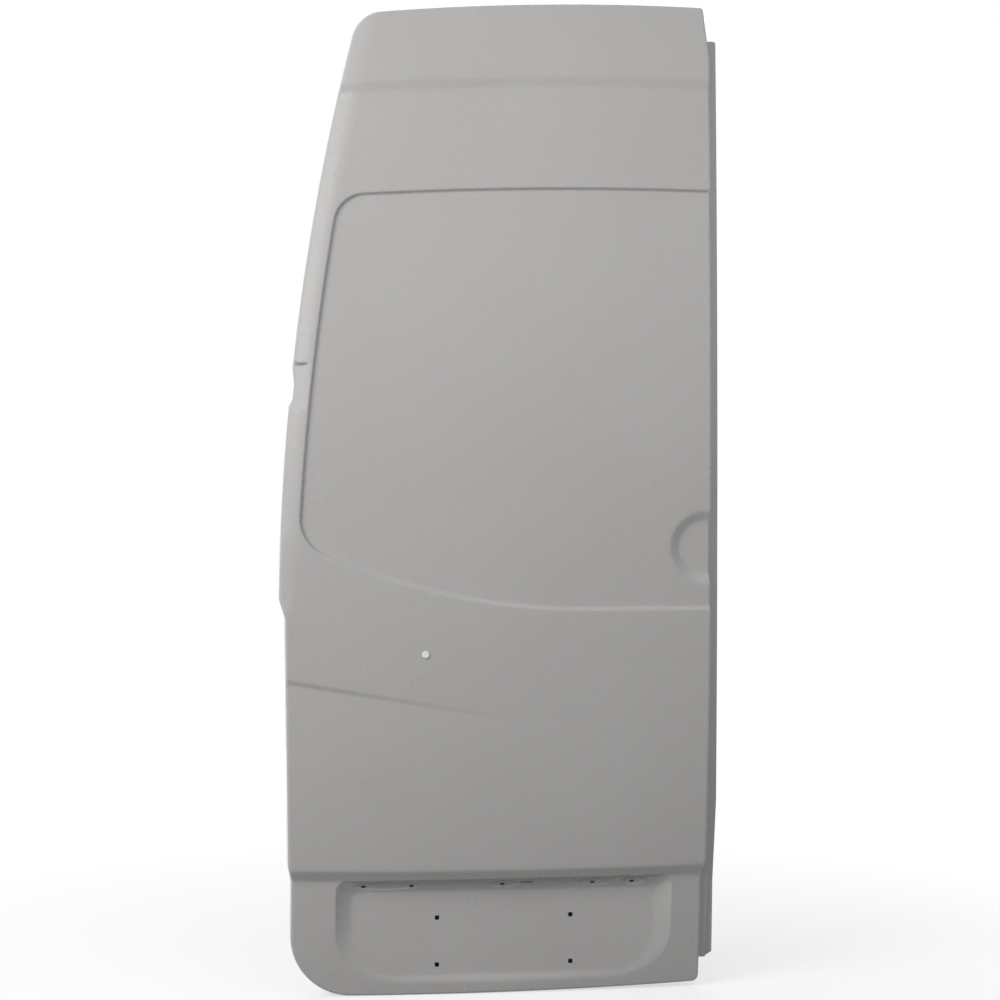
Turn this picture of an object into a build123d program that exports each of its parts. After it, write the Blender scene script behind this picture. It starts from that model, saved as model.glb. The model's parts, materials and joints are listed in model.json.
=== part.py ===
from build123d import *
import math
import os

# Left leaf of a pair of rear barn doors, a bare painted shell.
# x runs from the hinge side to the meeting edge, y from the outer face inwards, z up.

# Overall outline of the outer pressing, in front view
SKIN_WIDTH = 830.0
SKIN_HEIGHT = 1957.0
TOP_FALL = 36.0
BOTTOM_RISE = 9.0
FOOT_EDGE = 18.0
FOOT_CORNER_RADIUS = 120.0
TOP_CORNER_RADIUS = 66.0
SHOULDER_HEIGHT = 776.0
SHOULDER_OUT = -8.0
WAIST_EDGE = 3.0
LEAN_X = 29.0
LEAN_HEIGHT = 1313.0
BROW_X = 148.0

# Meeting edge of the outline, as distances out past the width above
EDGE_PEAK_OUT = 8.0
EDGE_HEAD_OUT = 17.5
EDGE_HEAD_DROP = 107.0
EDGE_MID_OUT = 6.8
EDGE_MID_HEIGHT = 1110.0
EDGE_FOOT_OUT = 1.5
EDGE_FOOT_BACK = 4.0

# Double curvature of the pressing
BOW_HEIGHT = 845.0
BOW_RADIUS = 6900.0
CROWN_RADIUS = 7800.0

# Sheet and frame depths, measured inwards from the curved face
SHEET = 1.5
SEAM = 0.3
RETURN_DEPTH = 26.0
FOOT_RETURN_DEPTH = 50.0
FRAME_FRONT = 12.0
FRAME_BACK = 62.0
BLOCK_DEPTH = 90.0

# Rolled corner beside the window
ROLL_WIDTH = 46.0
ROLL_DROP = 20.0

# Brow crease, lower step and swage
CREASE_DROP = 169.0
CREASE_HEIGHT = SKIN_HEIGHT - CREASE_DROP
CREASE_RISE = 18.0
CREASE_PROUD = 6.0
CREASE_FALL = 21.0
STEP_HEIGHT = 250.0
STEP_DROP = 20.0
STEP_DEPTH = 14.0
SWAGE_HINGE_HEIGHT = 622.0
SWAGE_END_X = 445.0
SWAGE_END_HEIGHT = 546.0
SWAGE_REACH = 180.0
SWAGE_DEPTH = 5.0

# Window-blank recess
WINDOW_TOP_DROP = 376.0
WINDOW_TOP = SKIN_HEIGHT - WINDOW_TOP_DROP
WINDOW_SILL = 757.0
WINDOW_DEPTH = 6.0
WINDOW_TOP_RADIUS = 62.0
WINDOW_SILL_RADIUS = 74.0
WINDOW_SILL_SWEEP = 128.0
WINDOW_TOP_FALL = 24.0

# Finger dish at the meeting edge
DISH_X = 823.0
DISH_HEIGHT = 876.0
DISH_RADIUS = 68.0
DISH_FLOOR_RADIUS = 52.0
DISH_DEPTH = 9.0

# Number-plate pocket and its lamp ledge
PLATE_X = 435.0
PLATE_HEIGHT = 122.0
POCKET_WIDTH = 714.0
POCKET_TALL = 212.0
POCKET_TOP_RADIUS = 24.0
POCKET_FOOT_RADIUS = 104.0
PLATE_FLOOR_WIDTH = 594.0
PLATE_FLOOR_TALL = 158.0
PLATE_FLOOR_TOP_RADIUS = 16.0
PLATE_FLOOR_FOOT_RADIUS = 84.0
PLATE_FLOOR_DEPTH = 16.5
PLATE_HOLE = 8.5
PLATE_HOLE_SPAN = 264.0
PLATE_HOLE_RISE = 92.0
PLATE_HOLE_DROP = 18.0
LAMP_HOLE_LONG = 10.0
LAMP_HOLE_WIDE = 7.0
LAMP_HOLES = (159.0, 252.0, 431.0, 610.0, 689.0)
LAMP_SLOT = 477.0

# Plugged hole low on the hinge side
PLUG_X = 271.0
PLUG_HEIGHT = 670.0
PLUG_RADIUS = 5.5

# Hinge seats on the hinge-side edge
UPPER_HINGE_HEIGHT = 1188.0
UPPER_SEAT_X = 32.0
LOWER_HINGE_HEIGHT = 420.0
LOWER_SEAT_X = 20.0
SEAT_TALL = 100.0
HINGE_POCKET_TALL = 89.0
HINGE_POCKET_DEPTH = 12.0
SEAT_DEPTH = 41.0
SEAT_RELIEF = 28.0
HINGE_BOLT_RADIUS = 4.5
HINGE_BOLT_RISE = 60.0
HINGE_BOLT_SPREAD = 14.0
HINGE_PLATE = 5.0

# Frame behind the skin
STILE_FOOT_X = 108.0
STILE_WAIST_X = 104.0
STILE_HEAD_X = 232.0
LOCK_STILE_WIDTH = 88.0
FRAME_EDGE_X = 820.0
SILL_TOP = 262.0
SILL_FRONT = 44.0
TOP_RAIL_TALL = 111.0
STILE_TOP = SKIN_HEIGHT - TOP_RAIL_TALL
HEADER_GAP = 7.0
HEADER_TALL = 80.0
HEADER_LOW = WINDOW_TOP + HEADER_GAP
HEADER_HIGH = HEADER_LOW + HEADER_TALL
BELT_LOW = 676.0
BELT_HIGH = 792.0

FRAME_RADIUS = 8.0
RAIL_LIP = 14.0
ACCESS_WIDTH = 236.0
ACCESS_TALL = 250.0
ACCESS_RADIUS = 40.0
ACCESS_COLLAR = 8.0
CLIP_HOLE = 8.0

# Striker on the meeting edge and tapping plates for the bolts
STRIKER_HEIGHT = 985.0
STRIKER_DEPTH = 41.0
STRIKER_BOLT_RADIUS = 4.5
STRIKER_BOLT_RISE = 50.0
TAPPING_PLATE = 4.0
LATCH_X = 770.0

# Pads between frame and skin
PAD_RADIUS = 16.0
PAD_X = (200.0, 330.0, 460.0, 590.0, 700.0)
DAMPER = 2.5

# Stepped flange along the meeting edge
FLANGE_HEAD_X = 872.0
FLANGE_MID_X = 854.8
FLANGE_BEND_X = 858.0
FLANGE_BEND_HEIGHT = 371.0
FLANGE_NECK_X = 854.5
FLANGE_NECK_HEIGHT = 215.0
FLANGE_FOOT_X = 857.0
FLANGE_STEP_X = 842.0
FLANGE_STEP_LEAN = 10.0
FLANGE_STEP = 8.0
FLANGE_LOW = 56.0
FLANGE_HEAD_DROP = 61.0
FLANGE_HIGH = SKIN_HEIGHT - FLANGE_HEAD_DROP
FLANGE_BRACE = 15.0
FLANGE_CUT = 9.0

FAR = 400.0
LEFT_BOUND = -90.0
RIGHT_BOUND = SKIN_WIDTH + 90.0
LOW_BOUND = -90.0
HIGH_BOUND = SKIN_HEIGHT + 90.0


def depth(x, z):
    # Distance of the curved outer face behind the plane through the meeting edge.
    bow = (z - BOW_HEIGHT) ** 2 / (2 * BOW_RADIUS)
    crown = (SKIN_WIDTH - x) ** 2 / (2 * CROWN_RADIUS)
    return bow + crown


def middle_control(first, middle, last):
    return middle * 2 - (first + last) * 0.5


def quadratic_patch(depth_at):
    # Smooth patch whose depth is quadratic across and up the door.
    across = (LEFT_BOUND, (LEFT_BOUND + RIGHT_BOUND) / 2, RIGHT_BOUND)
    upward = (LOW_BOUND, (LOW_BOUND + HIGH_BOUND) / 2, HIGH_BOUND)
    columns = []
    for x in across:
        low, mid, high = [Vector(x, depth_at(x, z), z) for z in upward]
        columns.append([low, middle_control(low, mid, high), high])
    left, centre, right = columns
    inner = [middle_control(a, b, c) for a, b, c in zip(left, centre, right)]
    return Face.make_bezier_surface([left, inner, right])


FACE = quadratic_patch(depth)


def layer(near, far):
    # Everything between two depths behind the curved face.
    return Solid.extrude(Pos(0, near, 0) * FACE, Vector(0, far - near, 0))


def ahead(patch, inset=0.0):
    return Solid.extrude(Pos(0, inset, 0) * patch, Vector(0, -FAR, 0))


def behind(patch, inset=0.0):
    return Solid.extrude(Pos(0, inset, 0) * patch, Vector(0, FAR, 0))


def front(sketch):
    # Front-view shape carried straight through the door.
    return extrude(Plane.XZ * sketch, amount=FAR, both=True)


def grown(sketch, amount):
    return offset(sketch, amount=amount) if amount else sketch


def rounded(sketch, corners):
    for corner, radius in corners:
        vertex = sketch.vertices().sort_by_distance(Vector(*corner))[0]
        sketch = fillet(vertex, radius)
    return sketch


def skin_outline():
    foot = (SKIN_WIDTH - EDGE_FOOT_BACK + 1, BOTTOM_RISE)
    toe = (FOOT_EDGE, 2.0)
    step_low = (FOOT_EDGE, STEP_HEIGHT - STEP_DROP)
    step_high = (FOOT_EDGE - 7, STEP_HEIGHT + 10)
    waist = (WAIST_EDGE, SHOULDER_HEIGHT - 36)
    shoulder = (SHOULDER_OUT, SHOULDER_HEIGHT)
    lean = (LEAN_X, LEAN_HEIGHT)
    brow = (BROW_X, SKIN_HEIGHT - TOP_FALL)
    crown = (466.0, SKIN_HEIGHT - 9)
    peak = (SKIN_WIDTH + EDGE_PEAK_OUT, SKIN_HEIGHT)
    head = (SKIN_WIDTH + EDGE_HEAD_OUT, SKIN_HEIGHT - EDGE_HEAD_DROP)
    middle = (SKIN_WIDTH + EDGE_MID_OUT, EDGE_MID_HEIGHT)
    edge_high = (SKIN_WIDTH + EDGE_FOOT_OUT, STEP_HEIGHT + 10)
    edge_low = (SKIN_WIDTH - EDGE_FOOT_BACK, STEP_HEIGHT - STEP_DROP)
    edges = [
        ThreePointArc(foot, (430.0, 0.0), toe),
        Line(toe, step_low),
        Line(step_low, step_high),
        Line(step_high, waist),
        Line(waist, shoulder),
        ThreePointArc(shoulder, lean, brow),
        ThreePointArc(brow, crown, peak),
        Line(peak, head),
        ThreePointArc(head, middle, edge_high),
        Line(edge_high, edge_low),
        Line(edge_low, foot),
    ]
    corners = [
        (toe, FOOT_CORNER_RADIUS),
        (step_low, 40.0),
        (step_high, 40.0),
        (waist, 40.0),
        (shoulder, 40.0),
        (brow, TOP_CORNER_RADIUS),
        (head, 120.0),
        (edge_high, 30.0),
        (edge_low, 30.0),
        (foot, 14.0),
    ]
    return rounded(make_face(edges), corners)


OUTLINE = skin_outline()


def window_outline(grow):
    beyond = SKIN_WIDTH + 40
    top = WINDOW_TOP + grow
    sill = WINDOW_SILL - grow
    top_left = (107.0 - grow, top - WINDOW_TOP_FALL)
    low_left = (30.0 - grow, sill + WINDOW_SILL_SWEEP)
    tangent = (580.0, sill)
    edges = [
        ThreePointArc((beyond, top), (530.0, top - 2.5), top_left),
        ThreePointArc(top_left, (53.5 - grow, 1188.0), low_left),
        TangentArc(tangent, low_left, tangent=(-1, 0)),
        Line(tangent, (beyond, sill)),
        Line((beyond, sill), (beyond, top)),
    ]
    corners = [(top_left, WINDOW_TOP_RADIUS + grow), (low_left, WINDOW_SILL_RADIUS + grow)]
    return rounded(make_face(edges), corners)


def edge_x(z):
    # Hinge-side edge of the outline above the shoulder.
    brow_height = SKIN_HEIGHT - TOP_FALL
    low_slope = (LEAN_X - SHOULDER_OUT) / (LEAN_HEIGHT - SHOULDER_HEIGHT)
    high_slope = (BROW_X - LEAN_X) / (brow_height - LEAN_HEIGHT)
    bend = (high_slope - low_slope) / (brow_height - SHOULDER_HEIGHT)
    return SHOULDER_OUT + (z - SHOULDER_HEIGHT) * (low_slope + bend * (z - LEAN_HEIGHT))


def roll_patch():
    # Face that turns back towards the hinge-side edge, following its lean.
    rows = []
    for step in range(13):
        z = SHOULDER_HEIGHT + (HIGH_BOUND - SHOULDER_HEIGHT) * step / 12
        fade = min(1.0, (z - SHOULDER_HEIGHT) / 220)
        drop = ROLL_DROP * fade * fade * (3 - 2 * fade)
        row = []
        for part in range(7):
            in_from_edge = ROLL_WIDTH * (part - 2) / 4
            x = edge_x(z) + in_from_edge
            turn = drop * (((ROLL_WIDTH - in_from_edge) / ROLL_WIDTH) ** 2 - 0.03)
            row.append(Vector(x, depth(x, z) + turn, z))
        rows.append(row)
    return Face.make_surface_from_array_of_points(rows, tol=0.02, max_deg=5)


def roll_zone():
    low = SHOULDER_HEIGHT
    high = SKIN_HEIGHT + 30
    mid = (low + high) / 2
    inner = [(edge_x(z) + ROLL_WIDTH, z) for z in (low, mid, high)]
    edges = [
        ThreePointArc(*inner),
        Line(inner[2], (LEFT_BOUND + 20, high)),
        Line((LEFT_BOUND + 20, high), (LEFT_BOUND + 20, low)),
        Line((LEFT_BOUND + 20, low), inner[0]),
    ]
    return make_face(edges)


def roll_clearance():
    return front(roll_zone()) & ahead(roll_patch(), SHEET + SEAM)


def crease_line(x):
    return CREASE_HEIGHT - CREASE_FALL * ((SKIN_WIDTH - x) / 603.0) ** 2


def crease_depth(x, z):
    line = crease_line(x)
    return depth(x, line) + (line - z) * CREASE_PROUD / CREASE_RISE


def step_depth(x, z):
    line = STEP_HEIGHT + (x - 500.0) ** 2 / 18000.0
    return depth(x, line) + (line - z) * STEP_DEPTH / STEP_DROP


def swage_tools(inset):
    pivot = Vector(SWAGE_END_X, depth(SWAGE_END_X, SWAGE_END_HEIGHT), SWAGE_END_HEIGHT)
    low_z = SWAGE_HINGE_HEIGHT - SWAGE_REACH
    root = Vector(0, depth(0, low_z), low_z)
    lean = math.degrees(SWAGE_DEPTH / SWAGE_REACH)
    tilted = FACE.rotate(Axis(pivot, root - pivot), lean)
    slope = (SWAGE_HINGE_HEIGHT - SWAGE_END_HEIGHT) / SWAGE_END_X
    left = -60.0
    right = SWAGE_END_X + 80
    below = low_z - 120
    lift = inset * 1.2
    zone_line = Polyline(
        (right, SWAGE_END_HEIGHT - 80 * slope + lift),
        (left, SWAGE_HINGE_HEIGHT - left * slope + lift),
        (left, below),
        (right, below),
        close=True,
    )
    return front(make_face(zone_line)) & ahead(tilted, inset)


def plate_plane(taper):
    # Section plane of the plate pocket: 0 is its upright floor, 1 its mouth on the curved face.
    lean = (PLATE_X - SKIN_WIDTH) / CROWN_RADIUS
    tilt = (PLATE_HEIGHT - BOW_HEIGHT) / BOW_RADIUS * taper
    across = Vector(1, lean, 0)
    up = Vector(0, tilt, 1)
    face = depth(PLATE_X, PLATE_HEIGHT) + STEP_DEPTH
    y = face + PLATE_FLOOR_DEPTH * (1 - taper)
    return Plane((PLATE_X, y, PLATE_HEIGHT), x_dir=across, z_dir=across.cross(up))


def pocket_section(taper, inset):
    def between(floor_size, mouth_size):
        return floor_size + (mouth_size - floor_size) * taper

    half_w = between(PLATE_FLOOR_WIDTH, POCKET_WIDTH) / 2 + inset
    half_h = between(PLATE_FLOOR_TALL, POCKET_TALL) / 2 + inset
    top_radius = between(PLATE_FLOOR_TOP_RADIUS, POCKET_TOP_RADIUS) + inset
    foot_radius = between(PLATE_FLOOR_FOOT_RADIUS, POCKET_FOOT_RADIUS) + inset
    corners = []
    for side in (-half_w, half_w):
        corners.append(((side, half_h), top_radius))
        corners.append(((side, -half_h), foot_radius))
    section = rounded(zone(-half_w, -half_h, half_w, half_h), corners)
    return Pos(0, inset, 0) * (plate_plane(taper) * section)


def plate_pocket(inset):
    # Deep under the lamp ledge and shallow at its foot: the walls are carried on past the mouth.
    return loft([pocket_section(0.0, inset), pocket_section(1.6, inset)], ruled=True)


def ledge_plane():
    # Sloping top wall of the number-plate pocket, where the plate lamps are fixed.
    foot = plate_plane(0.0).from_local_coords((0, PLATE_FLOOR_TALL / 2, 0))
    brow = plate_plane(1.0).from_local_coords((0, POCKET_TALL / 2, 0))
    across = plate_plane(0.0).x_dir
    return Plane((foot + brow) * 0.5, x_dir=across, z_dir=across.cross(brow - foot))


def finger_dish(inset):
    slope = (DISH_RADIUS - DISH_FLOOR_RADIUS) / DISH_DEPTH
    ahead_by = 10.0
    surface = depth(DISH_X, DISH_HEIGHT) + WINDOW_DEPTH
    tall = DISH_DEPTH + ahead_by
    wide = DISH_RADIUS + slope * ahead_by
    base = Plane((DISH_X, surface - ahead_by + inset, DISH_HEIGHT), z_dir=(0, 1, 0))
    low_align = (Align.CENTER, Align.CENTER, Align.MIN)
    return base * Cone(wide + inset, DISH_FLOOR_RADIUS + inset, tall, align=low_align)


def hinge_pocket(inset):
    half = HINGE_POCKET_TALL / 2 + inset
    low = (30.0 + inset, UPPER_HINGE_HEIGHT - half)
    high = (40.0 + inset, UPPER_HINGE_HEIGHT + half)
    start = LEFT_BOUND + 30
    shape = make_face(Polyline((start, low[1]), low, high, (start, high[1]), close=True))
    shape = rounded(shape, [(low, 8.0 + inset), (high, 8.0 + inset)])
    return front(shape) & layer(-60, HINGE_POCKET_DEPTH + inset)


def pressing(inset):
    # Solid under the outer face, moved inwards by the sheet thickness for its inside.
    edge = front(grown(OUTLINE, -inset))
    end = BLOCK_DEPTH + inset
    body = edge & layer(inset, end)
    brow = edge & layer(inset - CREASE_PROUD, end) & behind(quadratic_patch(crease_depth), inset)
    body = body + brow
    body = body - (front(roll_zone()) & ahead(roll_patch(), inset))
    body = body - (ahead(FACE, STEP_DEPTH + inset) & ahead(quadratic_patch(step_depth), inset))
    body = body - swage_tools(inset)
    body = body - (front(window_outline(inset)) & layer(-60, WINDOW_DEPTH + inset))
    body = body - finger_dish(inset)
    body = body - plate_pocket(inset)
    body = body - hinge_pocket(inset)
    return body


def zone(left, low, right, high):
    return make_face(Polyline((left, low), (right, low), (right, high), (left, high), close=True))


def outer_skin():
    shell = pressing(0.0) - pressing(SHEET)
    ring = front(OUTLINE) - front(grown(OUTLINE, -10.0))
    split = STEP_HEIGHT + 4
    lock_side = SKIN_WIDTH - 30
    foot = front(zone(LEFT_BOUND, LOW_BOUND, lock_side, split))
    shell = shell - ((ring - foot) & layer(RETURN_DEPTH, BLOCK_DEPTH + 20))
    shell = shell - (ring & foot & layer(FOOT_RETURN_DEPTH, BLOCK_DEPTH + 20))
    for u in (-PLATE_HOLE_SPAN / 2, PLATE_HOLE_SPAN / 2):
        for v in (-PLATE_HOLE_RISE / 2, PLATE_HOLE_RISE / 2):
            place = plate_plane(0.0) * Pos(u, v - PLATE_HOLE_DROP, 0)
            shell = shell - place * Box(PLATE_HOLE, PLATE_HOLE, 20)
    ledge = ledge_plane()
    for x in LAMP_HOLES:
        hole = SlotOverall(LAMP_HOLE_LONG, LAMP_HOLE_WIDE)
        shell = shell - extrude(ledge * Pos(x - PLATE_X, 0) * hole, amount=12, both=True)
    slit = SlotOverall(28, 3)
    shell = shell - extrude(ledge * Pos(LAMP_SLOT - PLATE_X, 5) * slit, amount=12, both=True)
    plug_hole = Pos(PLUG_X, PLUG_HEIGHT) * Circle(PLUG_RADIUS + SEAM)
    return shell - (front(plug_hole) & layer(-20, 30))


def back_rim(block, along):
    # Long edges of the rear face, leaving out the two cut ends.
    def relative_depth(face):
        middle = face.center()
        return middle.Y - depth(middle.X, middle.Z)

    rear = max(block.faces(), key=relative_depth)
    if along == "up":
        return [edge for edge in rear.edges() if edge.bounding_box().size.Z > 1]
    if along == "across":
        return [edge for edge in rear.edges() if edge.bounding_box().size.X > 1]
    return rear.edges()


def channel(region, near, far, along):
    # Pressed channel open towards the skin, with rounded rear corners.
    outside = front(region) & layer(near, far)
    outside = fillet(back_rim(outside, along), FRAME_RADIUS)
    inside = front(grown(region, -SHEET)) & layer(near - 3, far - SHEET)
    inside = fillet(back_rim(inside, along), FRAME_RADIUS - SHEET)
    return outside - inside


FRAME_INSET = SHEET + SEAM
EDGE_LINE = grown(OUTLINE, -FRAME_INSET)
LOCK_STILE_X = FRAME_EDGE_X - LOCK_STILE_WIDTH
STILE_FOOT = SILL_TOP - 30
STILE_HEAD = STILE_TOP + 20


def beside_stile(shift, far_x):
    # Front-view area between the inner edge of the hinge stile and a straight line.
    foot = (STILE_FOOT_X + shift, STILE_FOOT)
    waist = (STILE_WAIST_X + shift, 1000.0)
    head = (STILE_HEAD_X + shift, STILE_HEAD)
    return make_face(
        [
            ThreePointArc(foot, waist, head),
            Line(head, (far_x, STILE_HEAD)),
            Line((far_x, STILE_HEAD), (far_x, STILE_FOOT)),
            Line((far_x, STILE_FOOT), foot),
        ]
    )


BAY = beside_stile(SEAM, LOCK_STILE_X - SEAM)


def seat_notch(seat_x, height):
    # Flat pressed into the hinge-side wall, with ramps at its ends.
    low = height - SEAT_TALL / 2
    high = height + SEAT_TALL / 2
    run = seat_x - LEFT_BOUND
    return make_face(
        Polyline(
            (LEFT_BOUND, low - run),
            (seat_x, low),
            (seat_x, high),
            (LEFT_BOUND, high + run),
            close=True,
        )
    )


def stile_edge(z):
    return edge_x(z) if z > SHOULDER_HEIGHT else WAIST_EDGE + 3


def bolt_row(seat_x, height, reach):
    # Four clearance holes square to a hinge seat.
    middle = depth(seat_x, height) + SEAT_DEPTH
    holes = []
    for across in (-HINGE_BOLT_SPREAD / 2, HINGE_BOLT_SPREAD / 2):
        for up in (-HINGE_BOLT_RISE / 2, HINGE_BOLT_RISE / 2):
            place = Plane((seat_x, middle + across, height + up), z_dir=(1, 0, 0))
            holes.append(place * Cylinder(HINGE_BOLT_RADIUS, reach))
    return holes


def square_holes(positions):
    tools = [Pos(x, z) * RectangleRounded(CLIP_HOLE, CLIP_HOLE, 1) for x, z in positions]
    return [front(tool) & layer(FRAME_BACK - 20, FRAME_BACK + 20) for tool in tools]


def slot_holes(positions, long, wide, angle):
    tools = [Pos(x, z) * Rot(0, 0, angle) * SlotOverall(long, wide) for x, z in positions]
    return [front(tool) & layer(FRAME_BACK - 20, FRAME_BACK + 20) for tool in tools]


def heights(low, high, shares):
    return [low + (high - low) * share for share in shares]


def without(body, tools):
    for tool in tools:
        body = body - tool
    return body


def hinge_stile():
    band = EDGE_LINE & beside_stile(0.0, LEFT_BOUND)
    corners = []
    for seat_x, height in ((UPPER_SEAT_X, UPPER_HINGE_HEIGHT), (LOWER_SEAT_X, LOWER_HINGE_HEIGHT)):
        band = band - seat_notch(seat_x, height)
        for end in (-1, 1):
            z = height + end * SEAT_TALL / 2
            run = seat_x - stile_edge(z) - FRAME_INSET
            corners.append(((seat_x, z), 5.0))
            corners.append(((seat_x - run, z + end * run), 10.0))
    band = rounded(band, corners)
    body = channel(band, FRAME_FRONT, FRAME_BACK, "up")
    body = body & front(zone(LEFT_BOUND, SILL_TOP, RIGHT_BOUND, STILE_TOP))
    body = body - roll_clearance()
    for seat_x, height in ((UPPER_SEAT_X, UPPER_HINGE_HEIGHT), (LOWER_SEAT_X, LOWER_HINGE_HEIGHT)):
        tall = SEAT_TALL + 36
        relief = zone(LEFT_BOUND, height - tall / 2, seat_x + 6, height + tall / 2)
        body = body - (front(relief) & layer(0, SEAT_RELIEF))
        body = without(body, bolt_row(seat_x, height, 12))
    slots = heights(SHOULDER_HEIGHT, STILE_TOP, (0.116, 0.265, 0.518, 0.667, 0.817))
    body = without(body, slot_holes([(edge_x(z) + 54, z) for z in slots], 92, 34, 84))
    clips = heights(SHOULDER_HEIGHT, STILE_TOP, (0.191, 0.385, 0.593, 0.742, 0.892))
    low_clips = heights(SILL_TOP, SHOULDER_HEIGHT, (0.113, 0.463, 0.755))
    places = [(edge_x(z) + 54, z) for z in clips] + [(WAIST_EDGE + 56, z) for z in low_clips]
    return without(body, square_holes(places))


def lock_stile():
    region = zone(LOCK_STILE_X, SILL_TOP - 30, FRAME_EDGE_X, STILE_TOP + 20)
    body = channel(region, FRAME_FRONT, FRAME_BACK, "up")
    body = body & front(zone(LEFT_BOUND, SILL_TOP, RIGHT_BOUND, STILE_TOP))
    middle = LOCK_STILE_X + LOCK_STILE_WIDTH / 2
    slots = heights(SILL_TOP, STILE_TOP, (0.163, 0.58, 0.681, 0.782, 0.933))
    body = without(body, slot_holes([(middle, z) for z in slots], 96, 36, 90))
    clips = heights(SILL_TOP, STILE_TOP, (0.049, 0.106, 0.27, 0.523, 0.731, 0.857))
    body = without(body, square_holes([(middle, z) for z in clips]))
    body = without(body, slot_holes([(middle, DISH_HEIGHT - 16)], 150, 52, 90))
    body = body - finger_dish(SHEET + 2)
    return without(body, striker_holes(40))


def striker_holes(reach):
    holes = []
    for up in (-STRIKER_BOLT_RISE / 2, STRIKER_BOLT_RISE / 2):
        y = depth(SKIN_WIDTH, STRIKER_HEIGHT) + STRIKER_DEPTH
        place = Plane((FRAME_EDGE_X, y, STRIKER_HEIGHT + up), z_dir=(1, 0, 0))
        holes.append(place * Cylinder(STRIKER_BOLT_RADIUS, reach))
    return holes


def top_rail():
    clip = zone(LEFT_BOUND, STILE_TOP + SEAM, FRAME_EDGE_X, HIGH_BOUND)
    region = EDGE_LINE & clip
    low_left = (edge_x(STILE_TOP) + FRAME_INSET, STILE_TOP + SEAM)
    corners = [
        (low_left, 12.0),
        ((FRAME_EDGE_X, STILE_TOP + SEAM), 12.0),
        ((FRAME_EDGE_X, SKIN_HEIGHT), 12.0),
    ]
    region = rounded(region, corners)
    body = channel(region, FRAME_FRONT, FRAME_BACK, "round") - roll_clearance()
    holes = [(x, STILE_TOP + 44) for x in (260.0, 420.0, 580.0)]
    body = without(body, slot_holes(holes, 96, 34, 0))
    return without(body, square_holes([(x, STILE_TOP + 44) for x in (340.0, 500.0, 660.0)]))


def rail(low, high):
    # Hat section between the two stiles, with lips towards the skin.
    span = zone(LEFT_BOUND + 20, low, SKIN_WIDTH + 60, high)
    body = channel(span, FRAME_FRONT, FRAME_BACK, "across")
    lips = zone(LEFT_BOUND + 20, low - RAIL_LIP, SKIN_WIDTH + 60, high + RAIL_LIP)
    body = body + ((front(lips) - front(span)) & layer(FRAME_FRONT, FRAME_FRONT + SHEET))
    return body & front(BAY)


def header_rail():
    body = rail(HEADER_LOW, HEADER_HIGH)
    middle = (HEADER_LOW + HEADER_HIGH) / 2
    body = without(body, slot_holes([(x, middle) for x in (300.0, 470.0, 640.0)], 80, 30, 0))
    return without(body, square_holes([(x, middle) for x in (225.0, 385.0, 555.0)]))


def belt_rail():
    body = rail(BELT_LOW, BELT_HIGH)
    middle = (BELT_LOW + BELT_HIGH) / 2
    body = without(body, slot_holes([(x, middle) for x in (220.0, 420.0, 620.0)], 130, 60, 0))
    return without(body, square_holes([(x, middle) for x in (130.0, 320.0, 520.0, 710.0)]))


def lower_inner_panel():
    # Shallow pan with two collared access openings.
    low = SILL_TOP + SEAM
    high = BELT_LOW - RAIL_LIP - SEAM
    right = LOCK_STILE_X - SEAM
    left = STILE_FOOT_X
    region = BAY & zone(LEFT_BOUND, low, RIGHT_BOUND, high)
    corners = [((left, low), 14), ((left, high), 14), ((right, low), 14), ((right, high), 14)]
    region = rounded(region, corners)
    near = FRAME_BACK - 18
    body = channel(region, near, FRAME_BACK, "round")
    middle = (left + right) / 2
    height = (low + high) / 2
    for side in (-1, 1):
        spot = Pos(middle + side * (right - left) / 4, height)
        opening = spot * RectangleRounded(ACCESS_WIDTH, ACCESS_TALL, ACCESS_RADIUS)
        rim = grown(opening, SHEET)
        body = body + (front(rim) & layer(FRAME_BACK - ACCESS_COLLAR, FRAME_BACK - SHEET / 2))
        body = body - (front(opening) & layer(near - 10, FRAME_BACK + 10))
    clips = [(middle, height + dz) for dz in (-150.0, 0.0, 150.0)]
    return without(body, square_holes(clips))


def sill_rail():
    left = FOOT_EDGE + FRAME_INSET + 0.2
    high = SILL_TOP - SEAM
    low_left = (left, 2.0 + FRAME_INSET)
    low_right = (FRAME_EDGE_X, BOTTOM_RISE + FRAME_INSET + 0.4)
    edges = [
        ThreePointArc(low_right, (430.0, FRAME_INSET), low_left),
        Line(low_left, (left, high)),
        Line((left, high), (FRAME_EDGE_X, high)),
        Line((FRAME_EDGE_X, high), low_right),
    ]
    corners = [
        (low_left, FOOT_CORNER_RADIUS - FRAME_INSET),
        ((left, high), 14.0),
        ((FRAME_EDGE_X, high), 14.0),
        (low_right, 14.0),
    ]
    region = rounded(make_face(edges), corners)
    body = channel(region, SILL_FRONT, FRAME_BACK, "round")
    body = without(body, slot_holes([(x, 130.0) for x in (200.0, 434.0, 668.0)], 120, 60, 0))
    return without(body, square_holes([(x, 220.0) for x in (120.0, 300.0, 480.0, 660.0)]))


def flange_step_area(shift):
    # Front-view area from the frame edge out to the step, which leans out towards its head.
    low = FLANGE_LOW - 40
    high = FLANGE_HIGH + 60
    edge = FRAME_EDGE_X + SEAM
    head = (FLANGE_STEP_X + FLANGE_STEP_LEAN + shift, high)
    middle = (FLANGE_STEP_X + FLANGE_STEP_LEAN * 0.2 + shift, (low + high) / 2)
    toe = (FLANGE_STEP_X + shift, low)
    edges = [
        ThreePointArc(head, middle, toe),
        Line(toe, (edge, low)),
        Line((edge, low), (edge, high)),
        Line((edge, high), head),
    ]
    return make_face(edges)


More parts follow.
